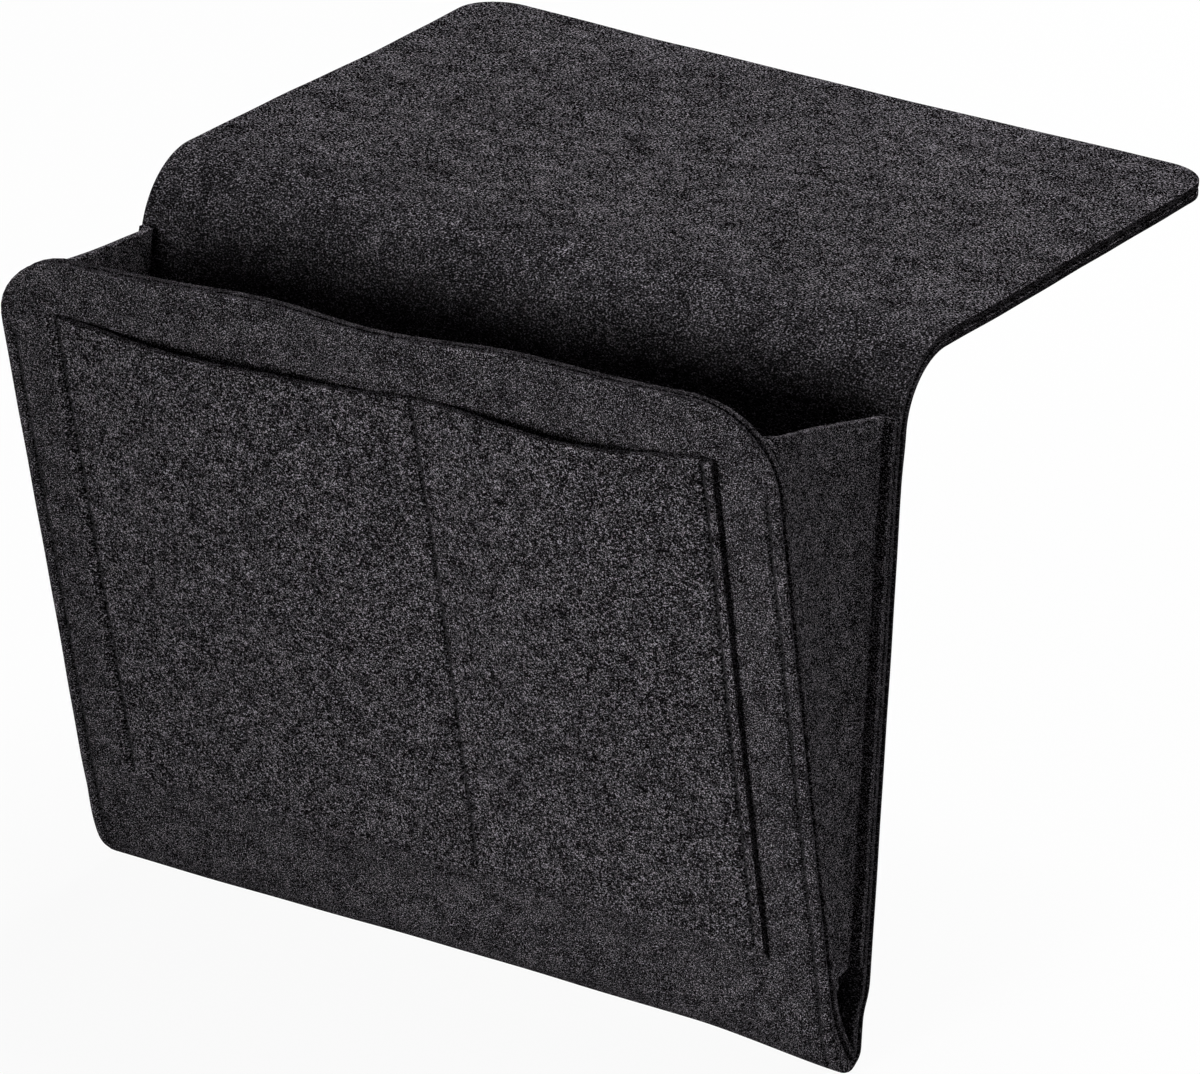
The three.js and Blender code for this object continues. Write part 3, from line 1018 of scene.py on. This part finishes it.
# %% Sewing a line
STITCH_PITCH = 3.6 * MM
STITCH_LENGTH = 3.0 * MM
STITCH_RINGS = ((-0.5, -0.9), (-0.4, -0.25), (-0.2, 0.12), (0.0, 0.2), (0.2, 0.12), (0.4, -0.25), (0.5, -0.9))
THREAD = 0.6 * MM
TUBE_SIDES = 8
TIP_FROM, TIP_WIDTH = 0.45, 0.55
PLY_TURNS = 9


def stitch_faces():
    """One stitch's faces: a tube through its rings, closed at both ends."""
    faces = []
    for near in range(0, (len(STITCH_RINGS) - 1) * TUBE_SIDES, TUBE_SIDES):
        far = near + TUBE_SIDES
        for k in range(TUBE_SIDES):
            after = (k + 1) % TUBE_SIDES
            faces.append([near + k, far + k, far + after, near + after])
    last = (len(STITCH_RINGS) - 1) * TUBE_SIDES
    return faces + [list(range(TUBE_SIDES)), [last + k for k in reversed(range(TUBE_SIDES))]]


def sew(name, place, start, end, face):
    """Stitches from start to end, two (x, s) places, on the outer face at t."""
    start, end = np.array(start, float), np.array(end, float)
    length = np.linalg.norm(end - start)
    count = int(length // STITCH_PITCH)
    middles = start + (np.arange(count)[:, None] + 0.5) / count * (end - start)
    along = (end - start) / length
    across = np.array([along[1], -along[0]])
    points, cloth = [], []
    for share, rise in STITCH_RINGS:
        narrow = THREAD / 2 * (TIP_WIDTH if abs(share) > TIP_FROM else 1.0)
        for turn in np.arange(TUBE_SIDES) / TUBE_SIDES * 2 * np.pi:
            flat = middles + share * STITCH_LENGTH * along + narrow * math.cos(turn) * across
            t = face + rise * THREAD / 2 + narrow * math.sin(turn)
            points.append(place(flat[:, 0], flat[:, 1], np.full(count, t)))
            ply = np.full(count, PLY_TURNS * share + turn / np.pi)
            cloth.append(np.column_stack([ply, np.zeros(count), np.arange(count)]))
    points, cloth = np.stack(points, axis=1), np.stack(cloth, axis=1)
    per_stitch = points.shape[1]
    faces = [[n * per_stitch + v for v in ring] for n in range(count) for ring in stitch_faces()]
    print(name, count, "stitches")
    return dress(mesh_piece(name, points.reshape(-1, 3), faces, cloth, {}), charcoal_thread)


# %% Sew the seams
FIRST_STITCH = 3 * MM
LAST_STITCH = 1 * MM
MOUTH_STITCH = 2 * MM
for side_name, seam in zip(SIDES, edge_seams):
    for body, (start, end) in (("front", FRONT_SEAM), ("back", BACK_SEAM)):
        row = sew(f"stitches_{body}_{side_name}", outer_layer_place, (seam, start + FIRST_STITCH),
                  (seam, end - LAST_STITCH), OUTER[1])
        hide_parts(f"{body}_seam_{side_name}")
        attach(row, body)

panel_runs = {run: ((seam, panel_foot_seam + FIRST_STITCH), (seam, POCKET_TOP - MOUTH_STITCH))
              for run, seam in zip(("left", "divider", "right"), panel_seams)}
panel_runs["foot"] = ((panel_seams[0], panel_foot_seam), (panel_seams[-1], panel_foot_seam))
for run, (start, end) in panel_runs.items():
    row = sew(f"stitches_pocket_{run}", panel_place, start, end, PANEL[1])
    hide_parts(f"pocket_seam_{run}")
    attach(row, "front")

# %% [markdown]
# ## The flat cuts
# The strip and the front print the size that each was cut to. The two rounded corners of a
# cut take a little off its area.

strip_flat = (2 * HALF_WIDTH, fold_start)
front_flat = (2 * HALF_WIDTH, SHEET_LENGTH - fold_start)
for side_name, gusset in gussets.items():
    cut = gusset_cuts[side_name]
for cut_name, flat in (("strip", strip_flat), ("front", front_flat)):
    print(cut_name, "cut to", " by ".join(f"{side / MM:.0f}" for side in flat), "mm")

# %% [markdown]
# ## Stage
# The photograph has a plain white ground. The floor and the world show white to the camera but give the felt
# only a little light. Five soft lamps do the rest, as in a studio: one in front lights the front almost
# squarely, one above lights the flap, and weaker ones light the two sides and the back. The creases at the
# sides and the inside of the pocket stay in shade.

# %% Floor and world
FLOOR_DROP = 1.0 * MM
FLOOR_HALF = 6.0
FLOOR_WHITE = 0.94
FLOOR_GREY = 0.85
FLOOR_BOUNCE = 0.35
AMBIENT = 0.06
WHITE = (1, 1, 1, 1)


def seen_directly(tree):
    """One for what the camera, a reflection or glass sees, and none for light that falls on the felt."""
    path = add_node(tree, "ShaderNodeLightPath")
    seen = path.outputs["Is Camera Ray"]
    for kind in ("Is Glossy Ray", "Is Transmission Ray"):
        seen = combine(tree, "ADD", seen, path.outputs[kind], use_clamp=True)
    return seen


def mix_shaders(tree, share, first, second):
    mix = add_node(tree, "ShaderNodeMixShader", Fac=share)
    for socket, shader in zip(mix.inputs[1:], (first, second)):
        tree.links.new(shader.outputs[0], socket)
    return mix


def pale_floor():
    mesh = bpy.data.meshes.new("floor")
    z = cad_low.z - FLOOR_DROP
    signs = ((-1, -1), (1, -1), (1, 1), (-1, 1))
    mesh.from_pydata([(x * FLOOR_HALF, y * FLOOR_HALF, z) for x, y in signs], [], [(0, 1, 2, 3)])
    floor = bpy.data.objects.new("floor", mesh)
    bpy.context.scene.collection.objects.link(floor)
    material, tree = new_finish("pale_floor")
    shaded, bounce = (add_node(tree, "ShaderNodeBsdfDiffuse", Color=(grey, grey, grey, 1))
                      for grey in (FLOOR_GREY, FLOOR_BOUNCE))
    white = add_node(tree, "ShaderNodeEmission", Color=WHITE, Strength=1.0)
    seen = mix_shaders(tree, FLOOR_WHITE, shaded, white)
    surface = mix_shaders(tree, seen_directly(tree), bounce, seen)
    add_node(tree, "ShaderNodeOutputMaterial", Surface=surface.outputs["Shader"])
    floor.data.materials.append(material)


def white_world():
    world = bpy.data.worlds.new("white_world")
    world.use_nodes = True
    tree = world.node_tree
    tree.nodes.clear()
    lit, shown = (add_node(tree, "ShaderNodeBackground", Color=WHITE, Strength=strength)
                  for strength in (AMBIENT, 1.0))
    surface = mix_shaders(tree, seen_directly(tree), lit, shown)
    add_node(tree, "ShaderNodeOutputWorld", Surface=surface.outputs["Shader"])
    bpy.context.scene.world = world


pale_floor()
white_world()
print("floor at z", round((cad_low.z - FLOOR_DROP) / MM, 1), "mm")

# %% [markdown]
# The front lamp has a grid, which keeps its light from spreading, so the front is brightest right of the
# middle and falls off to the left as in the photograph. A row below gives a lamp's place, what it is aimed at,
# its size and its power.

# %% Lamps
GRID_SPREAD = math.radians(26)
OPEN_SPREAD = math.pi
LAMPS = {
    "front_lamp": ((-0.08, -2.2, 0.25), (0.12, -0.15, -0.1), (0.7, 0.9), 2.15, GRID_SPREAD),
    "top_lamp": ((0.15, 0.8, 1.8), (0, 0, 0), (1.2, 1.2), 40, OPEN_SPREAD),
    "right_lamp": ((2.2, 0.45, 0.25), (0.1, -0.15, -0.15), (0.8, 0.8), 12.5, OPEN_SPREAD),
    "left_lamp": ((-2.2, 0.3, -0.1), (-0.1, -0.15, -0.15), (0.3, 0.3), 15, OPEN_SPREAD),
    "back_lamp": ((-0.3, 2.2, -0.06), (0, -0.13, -0.14), (0.8, 0.3), 22, OPEN_SPREAD),
}


def soft_lamp(name, place, aim, size, power, spread):
    data = bpy.data.lights.new(name, "AREA")
    data.shape = "RECTANGLE"
    data.size, data.size_y = size
    data.energy = power
    data.spread = spread
    lamp = bpy.data.objects.new(name, data)
    lamp.location = place
    lamp.rotation_mode = "QUATERNION"
    lamp.rotation_quaternion = (Vector(aim) - Vector(place)).to_track_quat("-Z", "Y")
    bpy.context.scene.collection.objects.link(lamp)


for lamp_name, lamp_row in LAMPS.items():
    soft_lamp(lamp_name, *lamp_row)
bpy.context.scene.view_settings.view_transform = "Standard"
print(len(LAMPS), "lamps")
